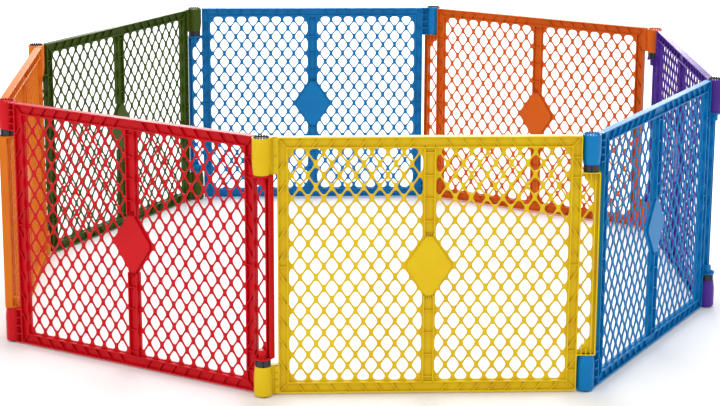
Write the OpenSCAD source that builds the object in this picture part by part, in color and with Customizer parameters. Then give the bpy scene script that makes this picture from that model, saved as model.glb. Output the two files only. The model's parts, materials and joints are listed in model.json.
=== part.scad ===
// Play yard: eight moulded plastic panels hinged into a closed ring.
// Millimetres, +Z up. The origin is on the floor, at the centre of the ring.
//
// Every panel comes from the same mould. Its left end, as seen from outside the ring, has two
// barrels, and its right end has a long knuckle that stands between the next panel's barrels.
// Every second panel is turned upside down, which moves its hinge axes to the other face, so
// that the ring can fold like an accordion.

/* [Panel] */
// Width of a panel's frame, without its hinge parts
frame_w = 750; // [560:1:900]
// Height of a panel's frame
frame_h = 660; // [540:1:800]
// Depth of the frame, over its flanges
frame_t = 20; // [16:0.5:28]
// Width of the two outer stiles
stile_w = 26; // [20:0.5:32]
// Height of the top and bottom rails
rail_h = 28.5; // [20:0.5:34]
// Width of the centre stile
mullion_w = 29; // [22:0.5:36]
// Thickness of the flanges along the edges of stiles and rails
flange_t = 3.5; // [2.5:0.25:5]
// Thickness of the web that joins the flanges
web_t = 3; // [2:0.25:5]
// Thickness of the stiffening ribs
rib_t = 2.6; // [2:0.1:4]
// How far the ribs stand back from the edges of the flanges
rib_drop = 1.5; // [0.5:0.25:4]

/* [Lattice] */
// Pitch of the lattice across the panel
cell_w = 39.4; // [32:0.1:50]
// Pitch of the lattice up the panel
cell_h = 57.9; // [46:0.1:72]
// Width of one strand
strand_w = 3.6; // [2.5:0.1:6]
// Share of each hole's full height that its blunt ends leave
hole_blunt = 0.83; // [0.7:0.01:0.92]
// Thickness of the lattice
lattice_t = 4; // [3:0.25:6]
// Plain margin between the border holes and the flanges
margin = 1.6; // [1:0.1:4]
// Thickness of the diamond plate at the centre
plate_t = 15; // [6:0.5:18]

/* [Hinge] */
// Outer diameter of the barrels
barrel_d = 47; // [44:0.5:49]
// Length of the barrel whose outer end is open
through_l = 93; // [80:1:120]
// Free height in which the splined ring shows, and which a panel can be lifted by
ring_gap = 18; // [12:0.5:24]
// Diameter of the splined plugs
plug_d = 39; // [34:0.5:40]
// Diameter of the pins on the plugs
pin_d = 16; // [10:0.5:18]
// Length of a pin inside the knuckle
pin_l = 22; // [19:0.5:24]
// Length of a plug inside the barrel whose outer end is closed
blind_seat = 35; // [20:1:45]
// Distance from a barrel's axis to its own frame
barrel_reach = 38; // [36:0.5:48]
// Distance from a knuckle's axis to its own frame
knuckle_reach = 25; // [24.5:0.5:30]
// How far a knuckle goes on past its axis
knuckle_over = 22; // [21:0.25:22.5]
// How far the barrels stand past the top and bottom of the frame
barrel_over = 0.5; // [0.5:0.25:8]
// Narrowing of a barrel's radius towards its mouth
nose_step = 3; // [1:0.1:3]
// Length of the narrowing
nose_l = 26; // [10:1:40]
// Height of the slotted crowns that stand on the barrels' outer ends
crown_h = 3; // [2:0.25:6]
// Width of the slots in a crown
crown_cut_w = 3; // [2:0.25:5]
// Radius of the shelf at each end of a knuckle
shelf_r = 22; // [21:0.25:22.5]
// Thickness of the shelf
shelf_t = 3; // [2:0.25:5]

/* [Fits] */
// Radial clearance of the plugs in the barrels and of the pins in the knuckles
run_fit = 0.08; // [0.03:0.01:0.1]
// Free height between hinge parts that stand on each other
face_gap = 0.5; // [0.3:0.05:1]
// Distance of a hinge axis from the face that it lies beside
axis_proud = 0.5; // [0.4:0.05:1.5]

/* [Feet] */
// Depth of the rubber pad's seat inside a crown
foot_seat = 5; // [3:0.25:8]
// How far the rubber pad stands out
foot_proud = 1; // [0.5:0.25:3]

/* [Ring] */
// Inside angle at the corners whose hinges lie on the inner faces
inner_corner = 125; // [110:1:160]

/* [Hidden] */
$fn = 64;
tiny = 0.01; // overshoot of cuts

// Panels in order round the ring, counter-clockwise from above. Even ones stand upright and
// odd ones upside down.
PANELS = ["yellow", "blue_right", "purple", "orange_back",
          "blue_back", "green", "orange_left", "red"];
COLOURS = ["gold", "steelblue", "rebeccapurple", "orangered",
           "royalblue", "darkolivegreen", "darkorange", "crimson"];
PIECES = ["frame", "lattice", "upper_plug", "lower_plug", "foot"];

// Hinge axes. A panel's own x runs from its left axis to its right one, its y points into
// the ring, and its z is 0 at mid-height.
axis_y = frame_t / 2 + axis_proud;
panel_l = barrel_reach + frame_w + knuckle_reach;
frame_x = barrel_reach + frame_w / 2;
chord = sqrt(pow(panel_l, 2) + pow(2 * axis_y, 2));
skew = atan2(2 * axis_y, panel_l);

// The ring repeats after every two panels, a quarter turn further on
turn = 180 - inner_corner;
span = chord * [1 + cos(turn), sin(turn)];
centre = (span + [-span.y, span.x]) / 2;

// Heights
barrel_end = frame_h / 2 + barrel_over;
knuckle_end = barrel_end - through_l - face_gap;
crown_end = barrel_end + crown_h;
mid_z = crown_end + foot_proud;

// Lattice
bay_h = frame_h - 2 * rail_h;
bay_w = frame_w / 2 - stile_w - mullion_w / 2;
bay_mid = (mullion_w + bay_w) / 2; // where the lattice is centred
bay_columns = floor(bay_w / 2 / cell_w);
hole_share = 1 - strand_w * sqrt(1 / pow(cell_w, 2) + 1 / pow(cell_h, 2));
hole_rx = hole_share * cell_w / 2;
hole_rz = hole_share * cell_h / 2;
layer_gap = 0.2; // keeps the two layers of strands apart
plate_cells = 3;
plate_rx = plate_cells * cell_w / 2;
plate_rz = plate_cells * cell_h / 2;
plate_blunt = 0.88;
plate_slope = sqrt(1 + pow(plate_rx / plate_rz, 2));

plug_r = plug_d / 2;
bore_r = plug_r + run_fit;
pin_r = pin_d / 2;
boss_r = pin_r + 4;
boss_l = pin_l + 2;
end_wall = 4;
rail_end_w = 14; // width of the knuckle's outer edge rail
strip_end = 5; // plain ends of the knuckle's strip
strip_edge = 0.4; // plain edges of the strip
gusset_l = 18; // length of the gussets below a shelf
skin_t = 3.5; // skin and rungs that carry a barrel
rungs = 5;
cut_w = 3.5; // slots between the spline lands
cut_d = 2;
spline_slots = 6;
crown_slots = 16;
crown_cut_d = crown_h - 0.5;
pad_r = plug_r - 3; // leaves the wall of a crown round the pad

// ---- Outlines, drawn with z up the page ----

// The diamond plate, drawn in by inset all round, with its four corners cut off
module diamond(inset = 0) {
    rx = plate_rx - inset * plate_slope;
    rz = plate_rz - inset * plate_slope * plate_rz / plate_rx;
    x1 = rx * (1 - plate_blunt);
    z1 = rz * plate_blunt;
    x2 = rx * 0.96;
    z2 = rz * 0.04;
    polygon([[x1, z1], [-x1, z1], [-x2, z2], [-x2, -z2],
             [-x1, -z1], [x1, -z1], [x2, -z2], [x2, z2]]);
}

// One lattice hole: a diamond whose top and bottom are blunt
module hole(x, z) {
    blunt_x = hole_rx * (1 - hole_blunt);
    blunt_z = hole_rz * hole_blunt;
    translate([x, z])
        polygon([[hole_rx, 0], [blunt_x, blunt_z], [-blunt_x, blunt_z],
                 [-hole_rx, 0], [-blunt_x, -blunt_z], [blunt_x, -blunt_z]]);
}

module rect(x0, x1, z0, z1) {
    translate([x0, z0]) square([x1 - x0, z1 - z0]);
}

module frame_outline(inset_x = 0, inset_z = 0) {
    square([frame_w - 2 * inset_x, frame_h - 2 * inset_z], center = true);
}

module mullion_outline(inset = 0) {
    square([mullion_w - 2 * inset, frame_h - 2 * flange_t], center = true);
}

// Everything that stands at full depth: the flanges of the rim, the centre stile and the plate
module flanges_2d() {
    difference() {
        frame_outline();
        frame_outline(flange_t, flange_t);
    }
    difference() {
        frame_outline(stile_w - flange_t, rail_h - flange_t);
        frame_outline(stile_w, rail_h);
    }
    difference() {
        mullion_outline();
        mullion_outline(flange_t);
        diamond();
    }
    difference() {
        diamond();
        diamond(flange_t);
    }
}

// The slanted ribs of one quarter of the rim, in the lattice's own direction
module quarter_ribs_2d() {
    slope = atan2(cell_h, cell_w);
    long = 2 * max(stile_w, rail_h);
    for (k = [-bay_columns : bay_columns - 1])
        translate([bay_mid + (k + 0.5) * cell_w, (frame_h - rail_h) / 2]) rotate(-slope)
            square([long, rib_t], center = true);
    for (z = [cell_h / 2 : cell_h : frame_h / 2 - rail_h])
        translate([(frame_w - stile_w) / 2, z]) rotate(-slope)
            square([long, rib_t], center = true);
    translate([(frame_w - stile_w) / 2, (frame_h - rail_h) / 2]) rotate(atan2(rail_h, stile_w))
        square([long, rib_t], center = true);
}

module ribs_2d() {
    intersection() {
        difference() {
            frame_outline(flange_t / 2, flange_t / 2);
            frame_outline(stile_w - flange_t / 2, rail_h - flange_t / 2);
        }
        union() {
            for (sx = [0, 1]) for (sz = [0, 1]) mirror([sx, 0]) mirror([0, sz]) quarter_ribs_2d();
            square([frame_w, rib_t], center = true);
        }
    }
    for (z = [2 * cell_h : cell_h : frame_h / 2 - rail_h]) for (side = [-1, 1])
        translate([0, side * z]) square([mullion_w - flange_t, rib_t], center = true);
}

// The knuckle's strip: two columns of half holes, staggered, with its edge rail outside them
module knuckle_web_2d() {
    x0 = frame_w / 2 - flange_t / 2;
    x1 = frame_w / 2 + knuckle_reach + knuckle_over;
    inner = frame_w / 2 + strip_edge;
    outer = x1 - rail_end_w - strip_edge;
    top = knuckle_end - shelf_t;
    difference() {
        rect(x0, x1 - flange_t / 2, -top, top);
        intersection() {
            rect(inner, outer, strip_end - top, top - strip_end);
            union() {
                for (z = [cell_h / 2 : cell_h : top - strip_end - hole_rz / 2]) for (s = [-1, 1])
                    hole(inner + hole_rx / 4, s * z);
                for (z = [0 : cell_h : top - strip_end - hole_rz]) for (s = (z == 0) ? [1] : [-1, 1])
                    hole(inner + hole_rx / 4 + cell_w / 2, s * z);
            }
        }
    }
}

module web_2d() {
    difference() {
        frame_outline(flange_t / 2, flange_t / 2);
        frame_outline(stile_w - flange_t / 2, rail_h - flange_t / 2);
    }
    mullion_outline(flange_t / 2);
    knuckle_web_2d();
}

// The flanges of the knuckle's edge rail
module knuckle_rail_2d() {
    x1 = frame_w / 2 + knuckle_reach + knuckle_over;
    top = knuckle_end - tiny;
    rect(x1 - flange_t, x1, -top, top);
    rect(x1 - rail_end_w, x1 - rail_end_w + flange_t, -top, top);
}

// The right bay between the rim, the centre stile and the plate, drawn in by inset all round
module bay_2d(inset = 0) {
    difference() {
        rect(mullion_w / 2 + inset, frame_w / 2 - stile_w - inset,
             inset - bay_h / 2, bay_h / 2 - inset);
        diamond(-inset);
    }
}

// The right bay crossed by strands that lean one way, with slots between them
module strands_2d(lean) {
    pitch = cell_w * cell_h / norm([cell_w, cell_h]);
    last = ceil((bay_w + bay_h * cell_w / cell_h) / 2 / cell_w);
    difference() {
        bay_2d();
        for (k = [-last : last - 1]) intersection() {
            bay_2d(margin);
            translate([bay_mid + (k + 0.5) * cell_w, 0]) rotate(lean * atan2(cell_h, cell_w))
                square([3 * frame_h, pitch - strand_w], center = true);
        }
    }
}

// Stands an outline up, its middle at depth y in the panel
module slab(thickness, y = 0) {
    translate([frame_x, y, 0]) rotate([90, 0, 0])
        linear_extrude(thickness, center = true) children();
}

// ---- Hinge shapes, on an axis at x = 0, y = 0 ----

// A barrel from its mouth at z = 0 up to its outer end
module barrel_body(length) {
    r = barrel_d / 2;
    cylinder(h = nose_l, r1 = r - nose_step, r2 = r);
    translate([0, 0, nose_l]) cylinder(h = length - nose_l, r = r);
}

module through_barrel() {
    difference() {
        barrel_body(through_l);
        translate([0, 0, -tiny]) cylinder(h = through_l + 2 * tiny, r = bore_r);
    }
}

// What is cut out of a crown whose end is at z = 0: the pad's seat and the slots
module crown_cuts() {
    translate([0, 0, -foot_seat]) cylinder(h = foot_seat + tiny, r = pad_r);
    for (k = [0 : crown_slots - 1]) rotate((k + 0.5) * 360 / crown_slots)
        translate([pad_r - 1, -crown_cut_w / 2, -crown_cut_d])
            cube([plug_r, crown_cut_w, crown_cut_d + tiny]);
}

// The outer end is closed, and carries a crown of its own
module blind_barrel() {
    length = through_l - ring_gap;
    difference() {
        union() {
            barrel_body(length);
            cylinder(h = length + crown_h, r = plug_r);
        }
        translate([0, 0, -tiny])
            cylinder(h = length + crown_h - foot_seat - end_wall + tiny, r = bore_r);
        translate([0, 0, length + crown_h]) crown_cuts();
    }
}

// The smooth outer skin and the ladder of ribs that carry a barrel, clear of its bore
module barrel_web(length) {
    difference() {
        union() {
            translate([0, axis_proud, 0]) cube([barrel_reach + tiny, skin_t, length]);
            for (k = [0 : rungs - 1])
                translate([0, axis_proud, k * (length - rib_t) / (rungs - 1)])
                    cube([barrel_reach + tiny, frame_t, rib_t]);
        }
        translate([0, 0, -tiny]) cylinder(h = length + 2 * tiny, r = bore_r + 1);
    }
}

// One end of a knuckle: the shelf, the boss below it and the gussets, with the top at z = 0
module knuckle_head() {
    difference() {
        union() {
            translate([0, 0, -shelf_t]) linear_extrude(shelf_t) {
                circle(shelf_r);
                translate([-knuckle_reach - tiny, -axis_y - frame_t / 2])
                    square([knuckle_reach + knuckle_over + tiny, axis_y + frame_t / 2]);
            }
            translate([0, 0, -boss_l]) cylinder(h = boss_l, r = boss_r);
            for (x = [-12, 0]) translate([x + rib_t / 2, 0, -shelf_t]) rotate([0, -90, 0])
                linear_extrude(rib_t)
                    polygon([[tiny, -axis_y - frame_t / 2], [tiny, shelf_r - 4], [-gusset_l, 0],
                             [-gusset_l, -axis_y], [-shelf_t, -axis_y - frame_t / 2]]);
        }
        translate([0, 0, -boss_l - tiny]) cylinder(h = boss_l + 2 * tiny, r = pin_r + run_fit);
    }
}

// A plug with its head below z = 0 and its pin above; the slots run along the free ring
module plug(head_l, crowned = false) {
    difference() {
        union() {
            translate([0, 0, -head_l]) cylinder(h = head_l, r = plug_r);
            cylinder(h = pin_l, r = pin_r);
        }
        for (k = [0 : spline_slots - 1]) rotate((k + 0.5) * 360 / spline_slots)
            translate([plug_r - cut_d, -cut_w / 2, -ring_gap])
                cube([cut_d + 1, cut_w, ring_gap + tiny]);
        if (crowned) translate([0, 0, -head_l]) mirror([0, 0, 1]) crown_cuts();
    }
}

// ---- The pieces of one upright panel ----

module panel_frame() {
    slab(frame_t) flanges_2d();
    slab(frame_t - 2 * rib_drop) ribs_2d();
    slab(web_t) web_2d();
    slab(plate_t) diamond(flange_t / 2);
    slab(frame_t) knuckle_rail_2d();
    translate([0, -axis_y, barrel_end - through_l]) {
        through_barrel();
        barrel_web(through_l);
    }
    translate([0, -axis_y, -barrel_end]) {
        translate([0, 0, through_l - ring_gap]) mirror([0, 0, 1]) blind_barrel();
        barrel_web(through_l - ring_gap);
    }
    translate([panel_l, axis_y, knuckle_end]) knuckle_head();
    translate([panel_l, axis_y, -knuckle_end]) mirror([0, 0, 1]) knuckle_head();
}

// In each bay two sets of strands, one leaning each way, lie on either side of the middle plane
module panel_lattice() {
    layer_t = (lattice_t - layer_gap) / 2;
    for (layer = [-1, 1]) {
        slab(layer_t, layer * (lattice_t - layer_t) / 2) strands_2d(layer);
        slab(layer_t, layer * (lattice_t - layer_t) / 2) mirror([1, 0]) strands_2d(-layer);
    }
}

// The plug of the open barrel, above the neighbour's knuckle; its crown stands out of the barrel
module through_plug() {
    translate([0, -axis_y, knuckle_end + face_gap / 2]) mirror([0, 0, 1])
        plug(crown_end - knuckle_end - face_gap / 2, crowned = true);
}

// The plug of the closed barrel, below the neighbour's knuckle
module blind_plug() {
    translate([0, -axis_y, -knuckle_end - face_gap / 2]) plug(ring_gap + blind_seat);
}

// The rubber pad in whichever crown stands on the floor
module foot() {
    translate([0, 0, -crown_end - foot_proud]) cylinder(h = foot_proud + foot_seat, r = pad_r);
}

// ---- Places in the ring ----

// Puts an upright panel's left axis at the start of quarter q
module place_upright(q) {
    rotate(90 * q) translate([-centre.x, -centre.y, mid_z]) rotate(-skew)
        translate([0, axis_y, 0]) children();
}

// Puts a panel that is turned upside down after it, its left axis on the first one's right axis
module place_turned(q) {
    rotate(90 * q) translate([chord - centre.x, -centre.y, mid_z]) rotate(turn + skew)
        translate([0, -axis_y, 0]) rotate([180, 0, 0]) children();
}

module place(i) {
    if (i % 2 == 0) place_upright(floor(i / 2)) children();
    else place_turned(floor(i / 2)) children();
}

// The foot is under the left axis, the right way up in both kinds of panel
module place_foot(i) {
    if (i % 2 == 0) place_upright(floor(i / 2)) translate([0, -axis_y, 0]) children();
    else rotate(90 * floor(i / 2)) translate([chord - centre.x, -centre.y, mid_z]) children();
}

module shows(i, piece) {
    children();
}

// An upside-down panel has its closed barrel at the top
for (i = [0 : len(PANELS) - 1]) {
    upright = i % 2 == 0;
    shows(i, "frame") color(COLOURS[i]) place(i) panel_frame();
    shows(i, "lattice") color(COLOURS[i]) place(i) panel_lattice();
    shows(i, "upper_plug") color("dimgray") place(i) {
        if (upright) through_plug(); else blind_plug();
    }
    shows(i, "lower_plug") color("dimgray") place(i) {
        if (upright) blind_plug(); else through_plug();
    }
    shows(i, "foot") color("black") place_foot(i) foot();
}
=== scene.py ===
# %% [markdown]
# # A folding play yard
# Eight moulded plastic panels stand in a closed ring. All eight come from one mould, and every second
# one is turned upside down. So this lesson builds one panel with care, then sets it in eight places.
# The ring itself, with its joints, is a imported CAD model, and everything made here has to fit it.

# %% Load the frame
import json
import math

import bmesh
import bpy
from mathutils import Matrix, Vector


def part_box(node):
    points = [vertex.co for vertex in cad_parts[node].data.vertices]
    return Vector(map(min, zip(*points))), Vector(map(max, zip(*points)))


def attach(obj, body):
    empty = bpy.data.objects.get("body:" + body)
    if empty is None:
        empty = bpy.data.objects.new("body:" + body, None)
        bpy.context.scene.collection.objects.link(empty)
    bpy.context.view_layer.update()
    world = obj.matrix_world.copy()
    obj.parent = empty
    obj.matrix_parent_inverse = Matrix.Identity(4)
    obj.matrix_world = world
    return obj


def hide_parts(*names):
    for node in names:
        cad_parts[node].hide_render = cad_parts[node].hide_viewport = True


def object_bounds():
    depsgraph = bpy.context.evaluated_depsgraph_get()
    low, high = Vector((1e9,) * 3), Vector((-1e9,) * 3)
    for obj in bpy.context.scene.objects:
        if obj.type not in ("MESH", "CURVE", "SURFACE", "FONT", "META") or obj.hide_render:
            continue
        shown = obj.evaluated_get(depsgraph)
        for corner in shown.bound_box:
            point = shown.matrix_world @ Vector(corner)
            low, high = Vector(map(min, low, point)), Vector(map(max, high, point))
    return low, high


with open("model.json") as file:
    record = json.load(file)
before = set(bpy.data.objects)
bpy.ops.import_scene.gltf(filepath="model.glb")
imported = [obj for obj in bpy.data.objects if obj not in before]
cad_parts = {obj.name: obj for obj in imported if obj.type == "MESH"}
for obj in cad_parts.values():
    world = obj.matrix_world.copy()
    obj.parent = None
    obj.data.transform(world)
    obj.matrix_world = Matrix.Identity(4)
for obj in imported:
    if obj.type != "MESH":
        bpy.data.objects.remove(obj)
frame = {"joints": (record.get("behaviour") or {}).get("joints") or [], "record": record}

cad_low, cad_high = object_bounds()
print("the frame is", [round(v, 3) for v in cad_high - cad_low], "m over all")

# %% [markdown]
# The sizes of the moulding are driven by a few numbers, in metres. They repeat the frame's own values,
# so that each new shape lies on the solid that it replaces.

# %% Sizes of one panel
MM = 0.001
frame_w, frame_h, frame_t = 750 * MM, 660 * MM, 20 * MM
stile_w, rail_h, mullion_w = 26 * MM, 28.5 * MM, 29 * MM
flange_t, web_t, rib_t, rib_drop = 3.5 * MM, 3 * MM, 2.6 * MM, 1.5 * MM
cell_w, cell_h, strand_w, lattice_t, margin = 39.4 * MM, 57.9 * MM, 3.6 * MM, 4 * MM, 1.6 * MM
slope = math.atan2(cell_h, cell_w)
plate_rx, plate_rz, plate_drop = 1.5 * cell_w, 1.5 * cell_h, 2.5 * MM
plate_blunt = 0.88  # where the plate's upper and lower ends are cut, as a share of its half-height
print("each lattice hole is about", round((cell_w - strand_w) / MM), "mm wide")

# %% Sizes of the hinge
barrel_r, barrel_reach, barrel_over = 23.5 * MM, 38 * MM, 0.5 * MM
through_l, ring_gap, face_gap, axis_proud = 93 * MM, 18 * MM, 0.5 * MM, 0.5 * MM
blind_l = through_l - ring_gap
plug_r, pin_r, pin_l, blind_seat = 19.5 * MM, 8 * MM, 22 * MM, 35 * MM
bore_r = plug_r + 0.08 * MM
nose_step, nose_l = 3 * MM, 26 * MM
knuckle_reach, knuckle_over, rail_end_w = 25 * MM, 22 * MM, 14 * MM
shelf_r, shelf_t = 22 * MM, 3 * MM
crown_h, crown_cut_w, pad_r = 3 * MM, 3 * MM, plug_r - 3 * MM
crown_teeth, plug_slots, front_teeth = 16, 6, 17
foot_seat, foot_proud = 5 * MM, 1 * MM
axis_y = frame_t / 2 + axis_proud
frame_x = barrel_reach + frame_w / 2
panel_l = barrel_reach + frame_w + knuckle_reach
barrel_end = frame_h / 2 + barrel_over
crown_end = barrel_end + crown_h
knuckle_end = barrel_end - through_l - face_gap
print("hinge pitch", round(panel_l / MM), "mm")

# %% [markdown]
# ## Where the eight panels stand
# Each panel's left hinge axis is a joint of the frame. The line from it to the next axis gives the
# panel's direction. An upright panel has its axes on the outer face at the left and on the inner face
# at the right, and an upside-down one the other way round, so each is a little skew to that line.

# %% Read the hinge axes
PANELS = ["yellow", "blue_right", "purple", "orange_back",
          "blue_back", "green", "orange_left", "red"]
axis_at = {}
for joint in frame["joints"]:
    if joint["child"].endswith("_plugs"):
        axis_at[joint["child"].removesuffix("_plugs")] = Vector(joint["pos_m"])
print(len(axis_at), "hinge axes found")

# %% One placing matrix for each panel
skew = math.atan2(2 * axis_y, panel_l)


def panel_place(index):
    """The matrix that takes a panel from its own coordinates to its place in the ring."""
    name, neighbour = PANELS[index], PANELS[(index + 1) % len(PANELS)]
    left = axis_at[name] + Vector((0, 0, (cad_low.z + foot_proud + cad_high.z) / 2))
    along = axis_at[neighbour] - axis_at[name]
    heading = math.atan2(along.y, along.x)
    if index % 2 == 0:
        return (Matrix.Translation(left) @ Matrix.Rotation(heading - skew, 4, "Z")
                @ Matrix.Translation((0, axis_y, 0)))
    return (Matrix.Translation(left) @ Matrix.Rotation(heading + skew, 4, "Z")
            @ Matrix.Translation((0, -axis_y, 0)) @ Matrix.Rotation(math.pi, 4, "X"))


places = {name: panel_place(i) for i, name in enumerate(PANELS)}
print("first panel's left end at", [round(v, 3) for v in places["yellow"].translation])

# %% [markdown]
# ## Helpers for moulded shapes
# The moulding is drawn flat, as on a page: x runs along the panel, y up it, and z towards the reader.
# At the end the page is stood upright. A flat face is pulled out to a wall, and its rims get a small
# bevel, because no real moulding has a knife edge and the bevel catches the light.

# %% Helpers: pull out, soften and gather
def soften(bm, offset, segments=1, angle=0.7):
    """Bevels every edge that is sharper than the angle."""
    bmesh.ops.recalc_face_normals(bm, faces=bm.faces[:])
    sharp = [e for e in bm.edges if e.is_manifold and e.calc_face_angle(0) > angle]
    bmesh.ops.bevel(bm, geom=sharp, offset=offset, segments=segments, profile=0.5,
                    affect="EDGES", material=-1)


def thicken(bm, depth, middle=0.0):
    """Pulls flat faces out to a solid whose mid-plane lies at the given height over the page."""
    bmesh.ops.translate(bm, verts=bm.verts[:], vec=(0, 0, middle - depth / 2))
    pulled = bmesh.ops.extrude_face_region(bm, geom=bm.faces[:])["geom"]
    bmesh.ops.translate(bm, verts=[g for g in pulled if isinstance(g, bmesh.types.BMVert)],
                        vec=(0, 0, depth))


def gather(into, part, matrices=(Matrix.Identity(4),)):
    """Adds one copy of part for each matrix, then frees part."""
    mesh = bpy.data.meshes.new("part")
    part.to_mesh(mesh)
    part.free()
    for matrix in matrices:
        copy = mesh.copy()
        copy.transform(matrix)
        if matrix.determinant() < 0:
            copy.flip_normals()
        into.from_mesh(copy)
        bpy.data.meshes.remove(copy)
    bpy.data.meshes.remove(mesh)


# %% Helpers: bars, rectangles and rings
EDGE = 0.45 * MM
QUARTERS = [Matrix.Diagonal((sx, sy, 1, 1)) for sx in (1, -1) for sy in (1, -1)]


def bar(size, at=(0, 0, 0), turn=0.0, edge=EDGE):
    """A straight rib with softened edges, turned about z."""
    bm = bmesh.new()
    place = Matrix.LocRotScale(Vector(at), Matrix.Rotation(turn, 3, "Z"), Vector(size))
    bmesh.ops.create_cube(bm, size=1, matrix=place)
    soften(bm, edge)
    return bm


def rectangle(bm, width, height, corner=0.0):
    """A flat rectangle round the origin, with round corners if corner isn't 0."""
    made = bmesh.ops.create_grid(bm, x_segments=1, y_segments=1, size=0.5,
                                 matrix=Matrix.Diagonal((width, height, 1, 1)))
    if corner:
        bmesh.ops.bevel(bm, geom=made["verts"], offset=corner, segments=3, profile=0.5,
                        affect="VERTICES", material=-1)


def band(outer, inner, depth, corner=1.5 * MM):
    """A rectangular ring between two outlines, given as (width, height)."""
    bm = bmesh.new()
    rectangle(bm, *outer, corner)
    rectangle(bm, *inner, corner)
    bmesh.ops.delete(bm, geom=bm.faces[:], context="FACES_ONLY")
    bmesh.ops.bridge_loops(bm, edges=bm.edges[:])
    thicken(bm, depth)
    soften(bm, EDGE)
    return bm


sample = bar((10 * MM, 5 * MM, 3 * MM))
print("a softened bar has", len(sample.faces), "faces")
sample.free()

# %% [markdown]
# ## The lattice
# The lattice is one thin sheet with staggered diamond holes. The tips of each hole are round, which
# leaves the strands thick where they cross and thin between. Cutting 300 holes with booleans would be
# slow and fragile. Instead each hole is a diamond face: planes trim the ones at the border, a vertex
# bevel rounds their corners, an inset sinks their rims, and a triangle fill makes the sheet between.

# %% Diamond holes, trimmed and rounded
hole_share = 1 - strand_w * math.hypot(1 / cell_w, 1 / cell_h)
hole_rx, hole_ry = hole_share * cell_w / 2, hole_share * cell_h / 2


def trim(bm, low, high):
    """Cuts away whatever lies outside a window."""
    for point, normal in ((low, (-1, 0, 0)), (low, (0, -1, 0)), (high, (1, 0, 0)), (high, (0, 1, 0))):
        geom = bm.verts[:] + bm.edges[:] + bm.faces[:]
        bmesh.ops.bisect_plane(bm, geom=geom, plane_co=(*point, 0), plane_no=normal, clear_outer=True)


def corner_kind(vert):
    """Which corner of a hole this is: a tip, a side, or one that a border has cut."""
    a, b = (e.other_vert(vert).co - vert.co for e in vert.link_edges)
    angle = math.degrees(a.angle(b))
    if abs(angle - 2 * math.degrees(math.pi / 2 - slope)) < 1:
        return "tip"
    return "side" if abs(angle - 2 * math.degrees(slope)) < 1 else "cut"


def round_holes(bm):
    """Rounds each kind of corner by its own amount, or by what the edges beside it have room for."""
    wanted = {"tip": (12 * MM, 4), "side": (7 * MM, 2), "cut": (6 * MM, 3)}
    groups = {}
    for vert in bm.verts:
        offset, segments = wanted[corner_kind(vert)]
        room = 0.47 * min(e.calc_length() for e in vert.link_edges)
        groups.setdefault((round(min(offset, room), 4), segments), []).append(vert)
    for (offset, segments), verts in groups.items():
        bmesh.ops.bevel(bm, geom=verts, offset=offset, segments=segments, profile=0.5,
                        affect="VERTICES", material=-1)


# %% The sheet between the holes
def pierced_sheet(border, window, centres, thickness, rim=0.6 * MM):
    """A sheet that fills border, (low, high), with holes at the centres, kept inside window."""
    bm = bmesh.new()
    grow = 1 + 0.6 * rim / hole_rx
    for x, y in centres:
        place = Matrix.Translation((x, y, 0)) @ Matrix.Diagonal((grow * hole_rx, grow * hole_ry, 1, 1))
        bmesh.ops.create_circle(bm, cap_ends=True, radius=1, segments=4, matrix=place)
    trim(bm, *window)
    round_holes(bm)
    holes = bm.faces[:]
    top = thickness / 2
    bmesh.ops.translate(bm, verts=bm.verts[:], vec=(0, 0, top))
    outline = [e for e in bm.edges]
    for face in holes:
        if face.normal.z < 0:
            face.normal_flip()
    bmesh.ops.inset_individual(bm, faces=holes, thickness=rim, depth=-rim, use_even_offset=True)
    walls = bmesh.ops.extrude_discrete_faces(bm, faces=holes)["faces"]
    for vert in {v for f in walls for v in f.verts}:
        vert.co.z = 0
    bmesh.ops.delete(bm, geom=walls, context="FACES")
    (x0, y0), (x1, y1) = border
    place = Matrix.Translation(((x0 + x1) / 2, (y0 + y1) / 2, top))
    edge = bmesh.ops.create_grid(bm, x_segments=1, y_segments=1, size=0.5,
                                 matrix=place @ Matrix.Diagonal((x1 - x0, y1 - y0, 1, 1)))["verts"]
    sides = list({e for v in edge for e in v.link_edges})
    bmesh.ops.delete(bm, geom=list({f for v in edge for f in v.link_faces}), context="FACES_ONLY")
    bmesh.ops.triangle_fill(bm, use_beauty=True, edges=outline + sides, normal=(0, 0, 1))
    dropped = bmesh.ops.extrude_edge_only(bm, edges=sides)["geom"]
    bmesh.ops.translate(bm, verts=[g for g in dropped if isinstance(g, bmesh.types.BMVert)],
                        vec=(0, 0, -top))
    bmesh.ops.mirror(bm, geom=bm.verts[:] + bm.edges[:] + bm.faces[:], axis="Z", merge_dist=1e-6)
    bmesh.ops.remove_doubles(bm, verts=bm.verts[:], dist=1e-6)
    bmesh.ops.recalc_face_normals(bm, faces=bm.faces[:])
    return bm


# %% Hole centres of one bay
bay_low, bay_high = mullion_w / 2, frame_w / 2 - stile_w
bay_mid, bay_top = (bay_low + bay_high) / 2, frame_h / 2 - rail_h
bay_columns = int((bay_high - bay_low) / 2 / cell_w)


def bay_centres():
    """Cell centres that lie in the right bay and off the diamond plate."""
    found = []
    for row in range(-10, 11):
        y = row * cell_h / 2
        for column in range(-5, 6):
            x = bay_mid + (column + (row + 1) % 2 / 2) * cell_w
            inside = bay_low < x < bay_high and abs(y) < bay_top
            if inside and x / plate_rx + abs(y) / plate_rz >= 1:
                found.append((x, y))
    return found


print(2 * len(bay_centres()), "holes in one panel")

# %% Both bays
def lattice():
    """The sheet of the right bay and its mirror image."""
    window = ((bay_low + margin, margin - bay_top), (bay_high - margin, bay_top - margin))
    border = ((-1 * MM, -bay_top - 1 * MM), (bay_high + 1 * MM, bay_top + 1 * MM))
    bm = bmesh.new()
    sheet = pierced_sheet(border, window, bay_centres(), lattice_t)
    gather(bm, sheet, [Matrix.Identity(4), Matrix.Diagonal((-1, 1, 1, 1))])
    return bm


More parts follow.
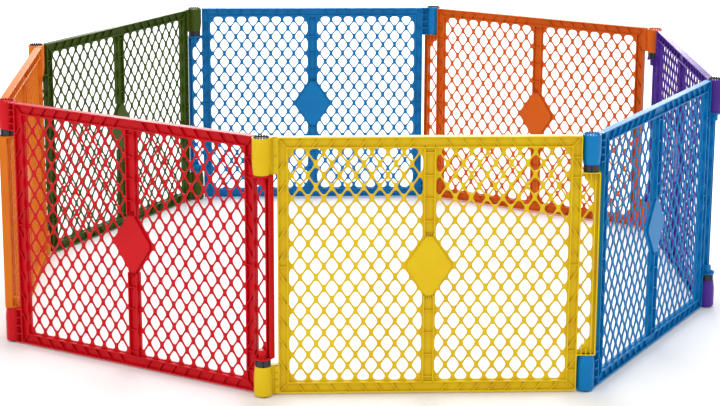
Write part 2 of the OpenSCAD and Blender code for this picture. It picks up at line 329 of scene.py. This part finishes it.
# %% [markdown]
# ## The ribbed frame
# Rails and stiles are open channels: two thin flanges joined by a web at mid-depth, stiffened by
# slanted ribs that carry the lattice's own direction out to the edge. The ribs of the four quarters
# lean away from the centre, so one quarter is made and mirrored.

# %% Flanges and webs of the rim
def rim():
    """Outer and inner flanges with the web between them."""
    bm = bmesh.new()
    outer, opening = (frame_w, frame_h), (frame_w - 2 * stile_w, frame_h - 2 * rail_h)

    def grown(size, by):
        return (size[0] + 2 * by, size[1] + 2 * by)

    gather(bm, band(outer, grown(outer, -flange_t), frame_t, 3 * MM))
    gather(bm, band(grown(opening, flange_t), opening, frame_t))
    gather(bm, band(grown(outer, -flange_t / 2), grown(opening, flange_t / 2), web_t))
    return bm


# %% Slanted ribs of one quarter
def quarter_ribs():
    """Ribs of the upper right quarter, with the mitre rib at its corner."""
    bm = bmesh.new()
    depth = frame_t - 2 * rib_drop
    rail_y, stile_x = (frame_h - rail_h) / 2, (frame_w - stile_w) / 2
    rail_rib, stile_rib = (rail_h - flange_t) / math.sin(slope), (stile_w - flange_t) / math.cos(slope)
    for k in range(-bay_columns, bay_columns):
        gather(bm, bar((rail_rib, rib_t, depth), (bay_mid + (k + 0.5) * cell_w, rail_y, 0), -slope))
    y = cell_h / 2
    while y < frame_h / 2 - rail_h:
        gather(bm, bar((stile_rib, rib_t, depth), (stile_x, y, 0), -slope))
        y += cell_h
    mitre = math.hypot(stile_w - flange_t, rail_h - flange_t)
    gather(bm, bar((mitre, rib_t, depth), (stile_x, rail_y, 0), math.atan2(rail_h, stile_w)))
    return bm


# %% Centre stile
def centre_stile():
    """Two flanges and a web from rail to plate, with rungs at the lattice's pitch."""
    bm = bmesh.new()
    gap = plate_blunt * plate_rz
    top = frame_h / 2 - rail_h + flange_t
    length, middle = top - gap, (top + gap) / 2
    half = bmesh.new()
    for side in (-1, 1):
        gather(half, bar((flange_t, length, frame_t), (side * (mullion_w - flange_t) / 2, middle, 0)))
    gather(half, bar((mullion_w - flange_t, length, web_t), (0, middle, 0)))
    depth = frame_t - 2 * rib_drop
    y = 2 * cell_h
    while y < frame_h / 2 - rail_h:
        gather(half, bar((mullion_w - flange_t, rib_t, depth), (0, y, 0)))
        y += cell_h
    for k in range(-2, 3):
        flute = (1.6 * MM, 13 * MM, frame_t - 3 * MM)
        gather(half, bar(flute, (k * mullion_w / 6, gap + 3 * MM, 0)))
    gather(bm, half, [Matrix.Identity(4), Matrix.Diagonal((1, -1, 1, 1))])
    return bm


# %% Diamond plate
def plate_face(inset):
    """The plate's flat outline, drawn in by inset: blunt ends and rounded side corners."""
    bm = bmesh.new()
    place = Matrix.Diagonal((plate_rx, plate_rz, 1, 1))
    bmesh.ops.create_circle(bm, cap_ends=True, radius=1, segments=4, matrix=place)
    ends = [v for v in bm.verts if abs(v.co.x) < 1 * MM]
    sides = [v for v in bm.verts if abs(v.co.y) < 1 * MM]
    bmesh.ops.bevel(bm, geom=ends, offset=(1 - plate_blunt) * math.hypot(plate_rx, plate_rz), segments=1,
                    profile=0.5, affect="VERTICES", material=-1)
    bmesh.ops.bevel(bm, geom=sides, offset=11 * MM, segments=6, profile=0.5,
                    affect="VERTICES", material=-1)
    ring = bmesh.ops.inset_region(bm, faces=bm.faces[:], thickness=inset, use_even_offset=True)
    return bm, ring["faces"]


def diamond_plate():
    """A raised rim round a slightly lower face, on both sides."""
    rim_bm, ring = plate_face(flange_t)
    inner = [f for f in rim_bm.faces if f not in ring]
    bmesh.ops.delete(rim_bm, geom=inner, context="FACES")
    thicken(rim_bm, frame_t)
    soften(rim_bm, EDGE)
    face_bm, ring = plate_face(flange_t / 2)
    bmesh.ops.delete(face_bm, geom=ring, context="FACES")
    thicken(face_bm, frame_t - 2 * plate_drop)
    bm = bmesh.new()
    gather(bm, rim_bm)
    gather(bm, face_bm)
    return bm


# %% [markdown]
# ## The knuckle side
# On the right a long knuckle stands between the next panel's barrels. A narrow strip of lattice joins
# the stile to an edge rail, and each end has a round shelf whose front is serrated, with gussets below.

# %% Strip and edge rail
knuckle_x = frame_w / 2 + knuckle_reach
rail_x1 = knuckle_x + knuckle_over
strip_top = knuckle_end - shelf_t


def knuckle_strip():
    """The strip's two staggered columns of holes, and the H-shaped edge rail outside them."""
    x0, x1 = frame_w / 2 + 0.4 * MM, rail_x1 - rail_end_w - 0.4 * MM
    y1 = strip_top - 3 * MM
    first = x0 + hole_rx / 4
    centres = [(first, s * (k + 0.5) * cell_h) for k in range(4) for s in (-1, 1)]
    centres += [(first + cell_w / 2, k * cell_h) for k in range(-3, 4)]
    bm = pierced_sheet(((x0 - 2 * MM, -strip_top), (x1 + 2 * MM, strip_top)),
                       ((x0, -y1), (x1, y1)), centres, web_t)
    for x in (rail_x1 - flange_t / 2, rail_x1 - rail_end_w + flange_t / 2):
        gather(bm, bar((flange_t, 2 * strip_top, frame_t), (x, 0, 0)))
    gather(bm, bar((rail_end_w - flange_t, 2 * strip_top, web_t), (rail_x1 - rail_end_w / 2, 0, 0)))
    extra_rungs = (225 * MM, 276 * MM)
    for y in extra_rungs:
        for s in (-1, 1):
            rib = (stile_w - flange_t, rib_t, frame_t - 2 * rib_drop)
            gather(bm, bar(rib, ((frame_w - stile_w) / 2, s * y, 0)))
    return bm


# %% [markdown]
# ## Standing the page up, and the turned parts
# Barrels, shelves and plugs are round, so their half-outlines are spun about the hinge axis. They are
# made in the panel's own upright coordinates, where z is up and y points into the ring.

# %% Spin a half-outline
page_up = Matrix.Translation((frame_x, 0, 0)) @ Matrix.Rotation(math.pi / 2, 4, "X")


def turned(outline, steps=48, closed=False):
    """Spins (radius, height) points about z. A closed outline makes a tube."""
    bm = bmesh.new()
    verts = [bm.verts.new((r, 0, z)) for r, z in outline]
    edges = [bm.edges.new(pair) for pair in zip(verts, verts[1:])]
    if closed:
        edges.append(bm.edges.new((verts[-1], verts[0])))
    bmesh.ops.spin(bm, geom=edges, cent=(0, 0, 0), axis=(0, 0, 1), angle=2 * math.pi,
                   steps=steps, use_merge=True)
    bmesh.ops.remove_doubles(bm, verts=bm.verts[:], dist=1e-6)
    bmesh.ops.recalc_face_normals(bm, faces=bm.faces[:])
    return bm


def around(count, radius=0.0, start=0.0, sweep=2 * math.pi):
    """Matrices that set copies on an arc about z, each facing outwards."""
    step = sweep / count
    return [Matrix.Rotation(start + k * step, 4, "Z") @ Matrix.Translation((radius, 0, 0))
            for k in range(count)]


# %% [markdown]
# A barrel narrows towards its mouth. The open one carries fine rings, a sign of a ribbed mould, and
# the closed one ends in a crown of small teeth, in which a rubber pad can sit.

# %% Barrels
def barrel_outline(length, ringed):
    """Outer side of a barrel, from its mouth at height 0 up to its end."""
    points = [(barrel_r - nose_step - 0.6 * MM, 0), (barrel_r - nose_step, 0.6 * MM)]
    steps = int((length - 2 * MM) / (4 * MM))
    for k in range(1, steps):
        z = k * 4 * MM
        r = barrel_r - nose_step * max(0.0, 1 - z / nose_l)
        if ringed:
            points += [(r, z - 0.5 * MM), (r - 0.35 * MM, z), (r, z + 0.5 * MM)]
        else:
            points.append((r, z))
    points += [(barrel_r, length - 0.8 * MM), (barrel_r - 0.8 * MM, length)]
    return points


def through_barrel():
    """Open at both ends, with its mouth at height 0."""
    outline = barrel_outline(through_l, True)
    outline += [(bore_r + 0.5 * MM, through_l), (bore_r, through_l - 0.5 * MM), (bore_r, 0)]
    return turned(outline, closed=True)


def crown():
    """A ring of teeth on the outer end of a barrel or plug; its foot is at height 0."""
    bm = bmesh.new()
    sweep = math.tau / crown_teeth - crown_cut_w / (plug_r - 1.5 * MM)
    outline = [(pad_r, -0.5 * MM), (plug_r, -0.5 * MM), (plug_r, crown_h - 1 * MM),
               (plug_r - 1 * MM, crown_h), (pad_r + 0.6 * MM, crown_h), (pad_r, crown_h - 0.6 * MM)]
    verts = [bm.verts.new((r, 0, z)) for r, z in outline]
    face = bm.faces.new(verts)
    bmesh.ops.spin(bm, geom=[face], cent=(0, 0, 0), axis=(0, 0, 1), angle=sweep, steps=2)
    bmesh.ops.holes_fill(bm, edges=bm.edges[:])
    soften(bm, 0.5 * MM, angle=1.2)
    ring = bmesh.new()
    gather(ring, bm, around(crown_teeth, start=-sweep / 2))
    return ring


def blind_barrel():
    """Closed at its outer end, which carries a crown round the seat of a pad."""
    floor = blind_l + crown_h - foot_seat
    outline = barrel_outline(blind_l, False)
    outline += [(pad_r, blind_l), (pad_r, floor), (0, floor)]
    bm = turned([(bore_r, 0)] + outline)
    inner = turned([(bore_r, 0), (bore_r, floor - 4 * MM), (0, floor - 4 * MM)])
    bmesh.ops.reverse_faces(inner, faces=inner.faces[:])
    gather(bm, inner)
    gather(bm, crown(), [Matrix.Translation((0, 0, blind_l))])
    return bm


# %% [markdown]
# A smooth skin carries each barrel on one face of the panel, and a ladder of small ribs backs it, so
# that the other face shows four or five open cells.

# %% The web that carries a barrel
def barrel_web(length):
    """Skin, groove and rungs between a barrel and the stile; the hinge axis is at x = 0, y = 0."""
    bm = bmesh.new()
    near, groove = barrel_r - 4 * MM, barrel_r + 5 * MM
    gather(bm, bar((groove - near, 3 * MM, length), ((groove + near) / 2, 3.6 * MM, length / 2)))
    gather(bm, bar((barrel_reach - groove + 1 * MM, 3.5 * MM, length),
                   ((groove + barrel_reach + 1 * MM) / 2, axis_proud + 1.75 * MM, length / 2)))
    rungs = 5
    for k in range(rungs):
        z = rib_t / 2 + k * (length - rib_t) / (rungs - 1)
        gather(bm, bar((barrel_reach - near, frame_t, rib_t),
                       ((near + barrel_reach) / 2, axis_proud + frame_t / 2, z)))
    return bm


# %% Shelf, serrated front, boss and gussets
def knuckle_head():
    """One end of the knuckle with its top at height 0; the hinge axis is at x = 0, y = 0."""
    bm = turned([(0, -shelf_t), (shelf_r - 0.4 * MM, -shelf_t), (shelf_r, 0.4 * MM - shelf_t),
                 (shelf_r, -0.6 * MM), (shelf_r - 0.6 * MM, 0), (0, 0)], 40)
    depth = axis_y + frame_t / 2
    tongue = (knuckle_reach + knuckle_over - 0.2 * MM, depth, shelf_t)
    gather(bm, bar(tongue, ((knuckle_over - knuckle_reach) / 2, -depth / 2, -shelf_t / 2)))
    tooth = bar((1.6 * MM, 2.2 * MM, 6.5 * MM), (0, 0, -3.4 * MM), edge=0.5 * MM)
    gather(bm, tooth, around(front_teeth, shelf_r - 1.3 * MM, math.radians(-8), math.radians(205)))
    gather(bm, turned([(0, -24 * MM), (pin_r + 4 * MM, -24 * MM), (pin_r + 4 * MM, -shelf_t)], 32))
    for x in (-14 * MM, -2 * MM, 10 * MM):
        gusset = bar((rib_t, depth + shelf_r - 7 * MM, 17 * MM), (0, 0, 0))
        bmesh.ops.translate(gusset, verts=gusset.verts[:],
                            vec=(x, (shelf_r - 7 * MM - depth) / 2, -shelf_t - 8.5 * MM))
        for vert in gusset.verts:
            if vert.co.z < -shelf_t - 8 * MM and vert.co.y > 0:
                vert.co.y *= 0.1
        gather(bm, gusset)
    return bm


# %% [markdown]
# ## One whole panel
# The flat parts are stood up and joined with the turned ones. The result is one mesh, and its size
# is printed before it is copied.

# %% Gather the panel
def panel_mesh():
    """The moulding of one upright panel, in its own coordinates."""
    flat = lattice()
    gather(flat, rim())
    gather(flat, quarter_ribs(), QUARTERS)
    for side in (-1, 1):
        gather(flat, bar((stile_w - flange_t, rib_t, frame_t - 2 * rib_drop),
                         (side * (frame_w - stile_w) / 2, 0, 0)))
    gather(flat, centre_stile())
    gather(flat, diamond_plate())
    gather(flat, knuckle_strip())
    bm = bmesh.new()
    gather(bm, flat, [page_up])
    down = Matrix.Diagonal((1, 1, -1, 1))
    upper = Matrix.Translation((0, -axis_y, barrel_end - through_l))
    lower = Matrix.Translation((0, -axis_y, -barrel_end))
    gather(bm, through_barrel(), [upper])
    gather(bm, barrel_web(through_l), [upper])
    gather(bm, blind_barrel(), [lower @ Matrix.Translation((0, 0, blind_l)) @ down])
    gather(bm, barrel_web(blind_l), [lower])
    top = Matrix.Translation((panel_l, axis_y, knuckle_end))
    gather(bm, knuckle_head(), [top, down @ top])
    mesh = bpy.data.meshes.new("panel")
    bm.to_mesh(mesh)
    bm.free()
    return mesh


one_panel = panel_mesh()
corners = [Vector(v.co) for v in one_panel.vertices]
print("panel moulding:", len(one_panel.polygons), "faces,",
      [round((max(c[i] for c in corners) - min(c[i] for c in corners)) / MM, 1) for i in range(3)], "mm")

# %% [markdown]
# ## Finishes
# Polypropylene has a soft gloss with a faint grain from the mould, and light enters it a little. The
# grain is a fine noise in the bump, and two slow noises vary colour and gloss so that no wide face
# looks printed. Every pattern reads object coordinates, so it stays on the piece when the ring folds.

# %% A moulded plastic
def moulded(name, colour, deep, roughness=0.36, grain=0.10):
    """Satin plastic: colour varies a little towards deep, and the mould's grain breaks the gloss."""
    material = bpy.data.materials.new(name)
    material.use_nodes = True
    nodes, links = material.node_tree.nodes, material.node_tree.links
    shader = nodes["Principled BSDF"]
    shader.inputs["IOR"].default_value = 1.49
    shader.inputs["Specular IOR Level"].default_value = 0.16
    coords = nodes.new("ShaderNodeTexCoord")
    cloud = nodes.new("ShaderNodeTexNoise")
    cloud.inputs["Scale"].default_value = 9
    cloud.inputs["Detail"].default_value = 3
    links.new(coords.outputs["Object"], cloud.inputs["Vector"])
    ramp = nodes.new("ShaderNodeValToRGB")
    ramp.color_ramp.elements[0].position, ramp.color_ramp.elements[1].position = 0.3, 0.72
    ramp.color_ramp.elements[0].color = (*deep, 1)
    ramp.color_ramp.elements[1].color = (*colour, 1)
    links.new(cloud.outputs["Fac"], ramp.inputs["Fac"])
    links.new(ramp.outputs["Color"], shader.inputs["Base Color"])
    gloss = nodes.new("ShaderNodeMapRange")
    gloss.inputs["To Min"].default_value = roughness - 0.05
    gloss.inputs["To Max"].default_value = roughness + 0.07
    links.new(cloud.outputs["Fac"], gloss.inputs["Value"])
    links.new(gloss.outputs["Result"], shader.inputs["Roughness"])
    fine = nodes.new("ShaderNodeTexNoise")
    fine.inputs["Scale"].default_value = 900
    fine.inputs["Detail"].default_value = 2
    links.new(coords.outputs["Object"], fine.inputs["Vector"])
    bump = nodes.new("ShaderNodeBump")
    bump.inputs["Strength"].default_value = grain
    bump.inputs["Distance"].default_value = 0.0004
    links.new(fine.outputs["Fac"], bump.inputs["Height"])
    links.new(bump.outputs["Normal"], shader.inputs["Normal"])
    return material


# %% Colours of the ring
COLOURS = {
    "yellow_plastic": ((0.72, 0.52, 0.006), (0.68, 0.44, 0.005)),
    "red_plastic": ((0.57, 0.003, 0.009), (0.50, 0.002, 0.007)),
    "blue_plastic": ((0.0005, 0.19, 0.48), (0.0005, 0.16, 0.42)),
    "green_plastic": ((0.050, 0.088, 0.007), (0.042, 0.075, 0.006)),
    "red_orange_plastic": ((0.66, 0.115, 0.005), (0.60, 0.095, 0.004)),
    "orange_plastic": ((0.68, 0.18, 0.008), (0.62, 0.145, 0.006)),
    "purple_plastic": ((0.080, 0.026, 0.280), (0.068, 0.021, 0.245)),
}
plastics = {slot: moulded(slot, *pair) for slot, pair in COLOURS.items()}
plastics["black_plastic"] = moulded("black_plastic", (0.045, 0.045, 0.054), (0.034, 0.034, 0.040), 0.30)
plastics["rubber"] = moulded("rubber", (0.018, 0.018, 0.018), (0.012, 0.012, 0.012), 0.75, 0.3)
slot_of = {s["node"]: s["material_slot"] for s in frame["record"]["subparts"]}
print(len(plastics), "finishes")

# %% [markdown]
# ## Setting the pieces in the ring
# Each piece is a copy of its mesh with its place written into the vertices, so the object itself stays
# at the origin. It rides on its panel's body and stands for the nodes that it covers.

# %% Place a piece
def set_piece(name, mesh, matrix, body, *nodes):
    """A piece at its place in the ring, finished as its nodes are, and riding on body."""
    mesh = mesh.copy()
    mesh.transform(matrix)
    mesh.polygons.foreach_set("use_smooth", [True] * len(mesh.polygons))
    mesh.set_sharp_from_angle(angle=math.radians(32))
    mesh.materials.clear()
    mesh.materials.append(plastics[slot_of[nodes[0]]])
    piece = bpy.data.objects.new(name, mesh)
    bpy.context.scene.collection.objects.link(piece)
    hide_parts(*nodes)
    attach(piece, body)
    return piece


for name in PANELS:
    set_piece(f"{name}_moulding", one_panel, places[name], f"{name}_panel",
              f"{name}_frame", f"{name}_lattice")
print("eight mouldings set")

# %% [markdown]
# ## Plugs and feet
# A black splined plug joins each barrel to the knuckle. Six slots part its lands in the free ring
# under or over the knuckle. At the open barrel its end shows too, with a crown of its own.

# %% Splined plug
def plug_mesh(head_l, crowned):
    """A plug with its head below z = 0 and its pin above."""
    end = -head_l + (crown_h if crowned else 0)
    floor = -head_l + foot_seat if crowned else end
    rim_in = pad_r if crowned else plug_r - 3 * MM
    outline = [(0, floor), (rim_in, floor), (rim_in + 0.3 * MM, end), (plug_r - 0.6 * MM, end),
               (plug_r, end + 0.6 * MM), (plug_r, -ring_gap), (plug_r, -0.6 * MM), (plug_r - 0.6 * MM, 0),
               (pin_r, 0), (pin_r, pin_l - 1 * MM), (pin_r - 1 * MM, pin_l), (0, pin_l)]
    per_land = 13  # steps of the spin from one slot to the next
    steps = per_land * plug_slots
    bm = turned(outline, steps)
    lands = [f for f in bm.faces if abs(f.calc_center_median().z + (ring_gap + 0.6 * MM) / 2) < 1 * MM
             and f.calc_center_median().xy.length > plug_r - 1 * MM]

    def step_of(face):
        angle = math.atan2(*face.calc_center_median().yx) % math.tau
        return int(angle / (math.tau / steps))

    slots = [f for f in lands if step_of(f) % per_land in (6, 7)]
    bmesh.ops.inset_region(bm, faces=slots, thickness=0.1 * MM, depth=-4 * MM, use_even_offset=True)
    if crowned:
        gather(bm, crown(), [Matrix.Translation((0, 0, end)) @ Matrix.Diagonal((1, 1, -1, 1))])
    mesh = bpy.data.meshes.new("plug")
    bm.to_mesh(mesh)
    bm.free()
    return mesh


through_plug = plug_mesh(crown_end - knuckle_end - face_gap / 2, True)
blind_plug = plug_mesh(ring_gap + blind_seat, False)
print("plug:", len(through_plug.polygons), "faces")

# %% Rubber foot
def foot_mesh():
    """A pad with a round edge and two grooves in its sole, with the sole at height 0."""
    r, top = pad_r - 0.1 * MM, foot_proud + foot_seat - 0.2 * MM
    outline = [(0, 0), (6 * MM, 0), (6.6 * MM, 0.6 * MM), (7.4 * MM, 0.6 * MM), (8 * MM, 0),
               (11.5 * MM, 0), (12.1 * MM, 0.6 * MM), (12.9 * MM, 0.6 * MM), (13.5 * MM, 0),
               (r - 0.6 * MM, 0), (r, 0.6 * MM), (r, top), (0, top)]
    bm = turned(outline, 40)
    mesh = bpy.data.meshes.new("foot")
    bm.to_mesh(mesh)
    bm.free()
    return mesh


one_foot = foot_mesh()
print("foot:", len(one_foot.polygons), "faces")

# %% Set plugs and feet
down = Matrix.Diagonal((1, 1, -1, 1))
through_at = Matrix.Translation((0, -axis_y, knuckle_end + face_gap / 2)) @ down
blind_at = Matrix.Translation((0, -axis_y, -knuckle_end - face_gap / 2))
for i, name in enumerate(PANELS):
    upper, lower = ("upper", "lower") if i % 2 == 0 else ("lower", "upper")
    set_piece(f"{name}_splined_{upper}", through_plug, places[name] @ through_at, f"{name}_plugs",
              f"{name}_{upper}_plug")
    set_piece(f"{name}_splined_{lower}", blind_plug, places[name] @ blind_at, f"{name}_plugs",
              f"{name}_{lower}_plug")
    low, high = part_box(f"{name}_foot")
    foot_at = Matrix.Translation(((low.x + high.x) / 2, (low.y + high.y) / 2, low.z))
    holder = f"{name}_panel" if i % 2 == 0 else f"{name}_plugs"
    set_piece(f"{name}_pad", one_foot, foot_at, holder, f"{name}_foot")
print("16 plugs and 8 feet set")

# %% [markdown]
# ## Stage, light and camera
# The ring stands on a plain pale floor in a bright, soft studio. A white world fills the shadows. One
# large lamp hangs overhead, and another behind the ring gives the pale sheen on the top flanges. A
# small one from the left gives form.

# %% Floor and world
floor_bm = bmesh.new()
bmesh.ops.create_grid(floor_bm, x_segments=1, y_segments=1, size=30)
floor_mesh = bpy.data.meshes.new("floor")
floor_bm.to_mesh(floor_mesh)
floor_bm.free()
floor = bpy.data.objects.new("floor", floor_mesh)
bpy.context.scene.collection.objects.link(floor)
floor.location.z = cad_low.z - 0.0005
floor_finish = bpy.data.materials.new("pale_floor")
floor_finish.use_nodes = True
floor_finish.node_tree.nodes["Principled BSDF"].inputs["Base Color"].default_value = (0.93, 0.93, 0.93, 1)
floor_finish.node_tree.nodes["Principled BSDF"].inputs["Roughness"].default_value = 0.9
floor_mesh.materials.append(floor_finish)

world = bpy.data.worlds.new("studio")
bpy.context.scene.world = world
world.use_nodes = True
world.node_tree.nodes["Background"].inputs["Color"].default_value = (1, 1, 1, 1)
world.node_tree.nodes["Background"].inputs["Strength"].default_value = 1.0
bpy.context.scene.view_settings.view_transform = "Standard"


# %% Lamps
def soft_lamp(name, at, towards, size, power):
    """A square area lamp that faces a point."""
    data = bpy.data.lights.new(name, "AREA")
    data.size, data.energy = size, power
    lamp = bpy.data.objects.new(name, data)
    lamp.location = at
    lamp.rotation_euler = (Vector(towards) - Vector(at)).to_track_quat("-Z", "Y").to_euler()
    bpy.context.scene.collection.objects.link(lamp)
    return lamp


soft_lamp("overhead", (0.4, 1.6, 3.6), (0, 0, 0.3), 3.0, 90)
soft_lamp("behind", (0.6, 6.5, 2.6), (0, 0, 0.6), 4.0, 260)
soft_lamp("left_fill", (-3.2, -3.6, 2.4), (0, -0.4, 0.3), 2.0, 25)
print("three lamps")

# %% [markdown]
# The camera stands at an adult's eye height, about five and a half metres back and a little left of
# the middle, with a long lens. The lens is shifted down slightly, as a view camera's back would be,
# because the ring sits low in the frame.

# %% Camera
yaw, pitch, roll = math.radians(3.6305), math.radians(13.409), math.radians(0.2088)
camera_data = bpy.data.cameras.new("camera")
camera_data.sensor_width = 36
camera_data.lens = 98.71
camera_data.shift_y = -0.0736
camera = bpy.data.objects.new("camera", camera_data)
camera.location = (-0.3631, -5.6587, 1.7501)
aim = Vector((math.sin(yaw) * math.cos(pitch), math.cos(yaw) * math.cos(pitch), -math.sin(pitch)))
turn = aim.to_track_quat("-Z", "Y").to_matrix() @ Matrix.Rotation(roll, 3, "Z")
camera.rotation_euler = turn.to_euler()
bpy.context.scene.collection.objects.link(camera)
bpy.context.scene.camera = camera
print("camera", round(camera.location.z, 2), "m up")
